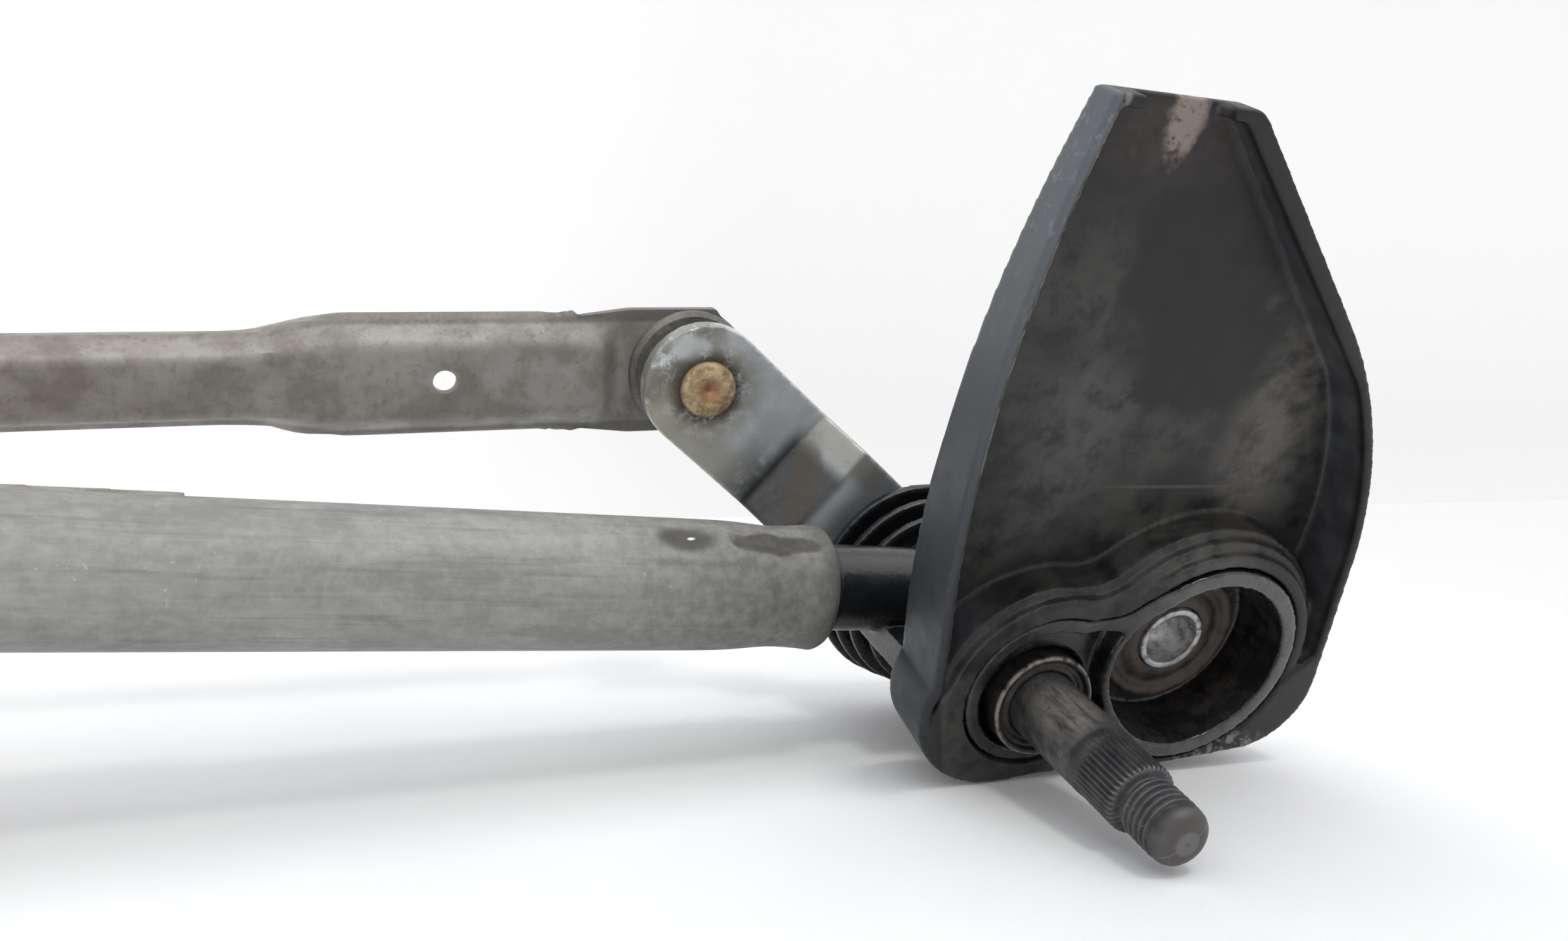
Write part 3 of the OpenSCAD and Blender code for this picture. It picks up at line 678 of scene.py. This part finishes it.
# (place along the link, value): half the width; how far the middle is raised, 0 to 1; half
# the width of the raised flat; how far the edges are folded back, 0 to 1
LINK_HALF = (
    (-5.0, 12.2), (12, 12.2), (20, 11.2), (27, 10.4), (64, 10.4), (70, 9.6),
    (79, 7.4), (84, 7.2), (148, 7.2), (154, 8.6), (161, 12.2), (215, 12.2),
)
LINK_RISE = (14.5, 0), (19, 1), (150, 1), (156, 0)
LINK_WEB = (16, 3.5), (22, 5.6), (64, 6.2), (80, 4.6), (150, 4.6), (156, 3.2)
LINK_FOLD = (22, 0), (28, 1), (152, 1), (158, 0)


def table(value, rows):
    """Looks value up in rows of (place, result), with straight lines between them."""
    xs, ys = zip(*rows)
    return float(np.interp(value, xs, ys))


def link_width(x):
    if x < -5:
        return math.sqrt(max(0.01, PAD_R**2 - x**2))
    if x > LINK_LEN:
        return math.sqrt(max(0.01, PAD_R**2 - (x - LINK_LEN) ** 2))
    return table(x, LINK_HALF)


def link_row(x, steps):
    """The points across the pressed sheet at x, from one folded edge to the other."""
    w, up, fold = link_width(x), smoothstep(0, 1, table(x, LINK_RISE)), table(x, LINK_FOLD)
    flat = min(table(x, LINK_WEB), w - 1.5) if w > 3 else w * 0.5
    run = w + LINK_FLANGE * fold
    row = []
    for k in range(steps + 1):
        s = -run + 2 * run * k / steps
        z = max(-w, min(w, s))
        back = max(0.0, abs(s) - w)
        slope = smoothstep(w - 0.5, flat, abs(z)) if up > 0 else 0
        inward = 0.55 * smoothstep(0, 1.6, back) + 0.05 * back
        row.append((x, back - LINK_RAISED * up * slope, -math.copysign(abs(z) - inward, z)))
    return row


def make_link():
    near_end = -PAD_R + 7.2 * (1 - np.cos(np.linspace(0.05, math.pi / 2, 12)))
    far_end = LINK_LEN + PAD_R * np.sin(np.linspace(0, math.pi / 2 - 0.05, 14))
    xs = [*near_end, *np.arange(-4.7, 30, 0.7), *np.arange(30, 150, 2.0)]
    xs += [*np.arange(150, 170, 0.8), *np.arange(170, LINK_LEN, 2.5), *far_end]
    steps = 40
    points = [point for x in xs for point in link_row(x, steps)]
    faces = []
    for i in range(len(xs) - 1):
        for k in range(steps):
            a = i * (steps + 1) + k
            faces.append((a, a + 1, a + steps + 2, a + steps + 1))
    obj = add("pressed_link", mesh_from("pressed_link", points, faces, LINK))
    smoothing(obj, 2)
    solid = obj.modifiers.new("thick", "SOLIDIFY")
    solid.thickness = LINK_SHEET * MM
    solid.offset = 0
    solid.use_even_offset = True
    bake(obj)
    cutters = []
    for x, r in LINK_HOLES:
        profile = [(-20, 0.01), (-20, r), (20, r), (20, 0.01)]
        cutter = add("cutter", revolve("cutter", profile, LINK @ shift(x, 0, 0), 48))
        cut = obj.modifiers.new("hole", "BOOLEAN")
        cut.operation, cut.solver, cut.object = "DIFFERENCE", "EXACT", cutter
        cutters.append(cutter)
    bake(obj)
    for cutter in cutters:
        bpy.data.meshes.remove(cutter.data)
    adopt(obj, "drive_link")
    obj.data.set_sharp_from_angle(angle=math.radians(38))


make_link()


# ---------------------------------------------------------------- spindle: knurl and thread
# places along the spindle and radii, in mm
TIP_Y, THREAD_END_Y, THREAD_START_Y, THREAD_R, THREAD_PITCH = -38.2, -35.2, -28.6, 4.92, 1.25
KNURL_END_Y, KNURL_START_Y, KNURL_R, KNURL_TEETH = -27.7, -16.4, 5.8, 40
SHAFT_R = 6.0
# (y, radius) from the tip's dome to the head behind the crank
SPINDLE_TIP = (
    (TIP_Y, 0.02), (TIP_Y + 0.05, 1.2), (TIP_Y + 0.18, 2.2), (TIP_Y + 0.42, 3.1),
    (TIP_Y + 0.8, 3.85), (TIP_Y + 1.3, 4.4), (TIP_Y + 1.9, 4.68), (TIP_Y + 2.5, 4.78),
)
SPINDLE_NECK = (
    (-28.5, 4.3), (-28.0, 4.3), (-27.8, 4.5), (-27.65, 5.0), (-27.4, 5.45), (-27.1, 5.7),
)
SPINDLE_SHAFT = (
    (-16, 5.9), (-15, 5.98), (-9, SHAFT_R), (-1, SHAFT_R), (3, SHAFT_R), (58.1, SHAFT_R),
    (58.1, 7.5), (59.5, 6.9), (59.5, 0.02),
)


def spindle_radius(y, radius, part):
    """The radius at y and at a part (0 to 1) of a turn, with the worn thread and the ribs."""
    if THREAD_END_Y - 0.35 < y < THREAD_START_Y:
        phase = ((y / THREAD_PITCH) + part) % 1.0
        groove = 0.5 - 0.5 * math.cos(2 * math.pi * phase)
        run = smoothstep(THREAD_START_Y, -29.2, y)
        run *= smoothstep(THREAD_END_Y - 0.35, THREAD_END_Y + 0.6, y)
        return radius - 0.62 * groove**1.3 * run - 0.14 * (1 - run)
    if KNURL_END_Y < y < KNURL_START_Y:
        rib = 0.5 - 0.5 * math.cos(2 * math.pi * part * KNURL_TEETH)
        fade = smoothstep(KNURL_END_Y, -27.0, y) * smoothstep(-17.2, -19.4, y)
        return radius + 0.17 * smoothstep(-19.4, -17.0, y) - 0.34 * rib**1.4 * fade
    return radius


def make_spindle():
    steps = 400
    thread = [(y, THREAD_R) for y in np.arange(THREAD_END_Y - 0.3, -28.7, 0.11)]
    knurl = [(y, KNURL_R) for y in np.linspace(-26.8, -16.5, 22)]
    loops = []
    for y, radius in (*SPINDLE_TIP, *thread, *SPINDLE_NECK, *knurl, *SPINDLE_SHAFT):
        loop = []
        for k in range(steps):
            r = spindle_radius(y, radius, k / steps)
            a = 2 * math.pi * k / steps
            loop.append((r * math.cos(a), y, r * math.sin(a)))
        loops.append(loop)
    obj = add("wiper_spindle", ring_mesh("wiper_spindle", loops, SPIN))
    adopt(obj, "spindle")
    obj.data.set_sharp_from_angle(angle=math.radians(50))


make_spindle()


# ---------------------------------------------------------------- turned and moulded pieces
CAP_PROFILE = (
    (1.0, 6.02), (0.7, 6.6), (1.15, 7.4), (1.05, 8.0), (0.1, 8.25), (0.05, 8.9),
    (0.5, 9.18), (4.9, 9.18), (4.9, 8.4), (2.2, 8.4), (2.2, 6.02),
)
BALL_R, BALL_FIRST, BALL_STEP = 7, 38, 6
STUD_PROFILE = (
    (-15.25, 0.01), (-15.2, 3.4), (-14.9, 4.8), (-14.3, 5.35), (-13.5, 5.38),
    (-13.5, 4), (-9.4, 4), (-9.4, 6.15), (-8.2, 6.15),
    *(
        (-BALL_R * math.cos(math.radians(a)), BALL_R * math.sin(math.radians(a)))
        for a in range(BALL_FIRST, 180, BALL_STEP)
    ),
    (6.99, 0.01),
)
GROMMET_PROFILE = (
    (7.0, 6.22), (7.05, 7.8), (7.5, 8.8), (8.0, 9.5), (8.0, 10.4), (7.25, 11.2),
    (7.02, 12.2), (7.5, 12.95), (9.6, 12.95), (9.9, 10), (13.1, 10), (13.2, 12.9),
    (15.8, 12.9), (16.2, 9.2), (17.9, 9.0), (17.9, 6.22),
)
SLEEVE_PROFILE = (6.5, 4.95), (6.5, 6.15), (20.4, 6.15), (20.4, 4.95)
SLEEVE_ARC, SLEEVE_FIRST = 355.0, 22.0  # the sleeve is rolled, and its seam is open by 5 degrees


def turned_piece(name, node, profile, where, radius, steps=96, **arc):
    """A turned shape that stands for node, with its corners rounded by up to radius mm."""
    adopt(add(name, revolve(name, rounded(profile, radius), where, steps, **arc)), node)


turned_piece("dust_cap_pressed", "dust_cap", CAP_PROFILE, SPIN, 0.22, 128)
turned_piece("riveted_ball_stud", "ball_stud", STUD_PROFILE, BALL, 0.3)
turned_piece("moulded_grommet", "mount_grommet", GROMMET_PROFILE, EYE, 0.5, 128)
turned_piece(
    "split_sleeve",
    "mount_sleeve",
    SLEEVE_PROFILE,
    EYE,
    0.35,
    120,
    arc=SLEEVE_ARC,
    first=SLEEVE_FIRST,
)

# ---------------------------------------------------------------- rounded castings and pressings
# (piece, node, voxel size in mm, smoothing passes)
for piece_name, node, voxel, passes in (
    ("sealing_dish_moulding", "sealing_dish", 0.36, 14),
    ("housing_casting", "pivot_housing", 0.4, 9),
    ("crank_strap", "crank_lever", 0.4, 8),
    ("bracket_pressing", "motor_bracket", 0.7, 4),
):
    adopt(soften(node, piece_name, voxel, passes), node)


# ---------------------------------------------------------------- floor, backdrop, light
FLOOR_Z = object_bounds()[0].z - 0.00005
REACH = 4
WALL_Y, WALL_LOW, WALL_HIGH = 1.1, -1.0, 3.0


def paper(name, low, high, far):
    """Matt paper with painted shade that makes it darker towards the right, as in the photograph.
    """
    m = Mat(name)
    cloud = m.noise(60, 3, 0.5)
    fibre = m.noise(0.5, 3, 0.6)
    m.ground(m.span(cloud, 0.3, 0.7), low, high)
    # painted shade: the paper darkens towards the right
    m.over(far, m.span(m.x, -50, 350), 0.8)
    m.set(Base_Color=m.base, Roughness=m.span(fibre, 0.3, 0.7, 0.85, 0.95))
    m.set(Specular_IOR_Level=0.2)
    m.bump(fibre, 0.06)
    return m.mat


def panel(name, corners, material):
    mesh = bpy.data.meshes.new(name)
    mesh.from_pydata([Vector(c) for c in corners], [], [(0, 1, 2, 3)])
    mesh.materials.append(material)
    add(name, mesh)


def edge_y(x):
    """Back edge of the bench top."""
    return 0.3386 + 0.037 * x


panel(
    "floor",
    [
        (-REACH, -REACH, FLOOR_Z),
        (REACH, -REACH, FLOOR_Z),
        (REACH, edge_y(REACH), FLOOR_Z),
        (-REACH, edge_y(-REACH), FLOOR_Z),
    ],
    paper("floor_paper", rgb(230, 231, 232), rgb(235, 236, 236), rgb(214, 214, 213)),
)
panel(
    "backdrop",
    [
        (-REACH, WALL_Y, WALL_LOW),
        (REACH, WALL_Y, WALL_LOW),
        (REACH, WALL_Y, WALL_HIGH),
        (-REACH, WALL_Y, WALL_HIGH),
    ],
    paper("wall_paper", rgb(252, 252, 251), rgb(254, 254, 253), rgb(238, 238, 236)),
)

# The room is dark at the horizon and pale above and below: (height 0 to 1, colour).
SKY_STOPS = (0.0, (0.2, 0.2, 0.21, 1)), (0.25, (0.36, 0.36, 0.37, 1)), (0.85, (1.0, 1.0, 1.02, 1))
SKY_STRENGTH = 1.7


def make_sky():
    world = bpy.data.worlds.new("room")
    SCENE.world = world
    world.use_nodes = True
    tree = world.node_tree
    tree.nodes.clear()
    coord, split, level, ramp, back, out = (
        tree.nodes.new("ShaderNode" + kind)
        for kind in ("TexCoord", "SeparateXYZ", "Math", "ValToRGB", "Background", "OutputWorld")
    )
    level.operation = "ABSOLUTE"
    tree.links.new(coord.outputs["Generated"], split.inputs[0])
    tree.links.new(split.outputs["Z"], level.inputs[0])
    tree.links.new(level.outputs[0], ramp.inputs[0])
    tree.links.new(ramp.outputs[0], back.inputs["Color"])
    tree.links.new(back.outputs[0], out.inputs["Surface"])
    low, middle, high = SKY_STOPS
    stops = ramp.color_ramp.elements
    stops[0].position, stops[0].color = low
    stops[1].position, stops[1].color = high
    stops.new(middle[0]).color = middle[1]
    back.inputs["Strength"].default_value = SKY_STRENGTH


make_sky()

key = bpy.data.lights.new("key", "SUN")
key.energy = 0.52
key.angle = math.radians(10)
key.color = (1.0, 0.99, 0.97)
TO_KEY = Vector((0.05, -0.46, 1.0))
add("key", key).rotation_euler = TO_KEY.to_track_quat("Z", "Y").to_euler()

# ---------------------------------------------------------------- camera
# fitted to the photograph's visible edges
LENS, SENSOR = 29.42, 36
CAMERA_AT = (-0.1185, -0.15401, 0.06422)
right = Vector((0.9296, -0.3664, 0.0402)).normalized()
forward = Vector((0.3686, 0.9241, -0.1014)).normalized()
up = right.cross(forward).normalized()
right = forward.cross(up)

cam = bpy.data.cameras.new("camera")
cam.lens = LENS
cam.sensor_width = SENSOR
cam.clip_start = 0.01
cam_obj = add("camera", cam)
cam_turn = Matrix((right, up, -forward)).transposed().to_4x4()
cam_obj.matrix_world = Matrix.Translation(CAMERA_AT) @ cam_turn
SCENE.camera = cam_obj
SCENE.view_settings.view_transform = "Standard"
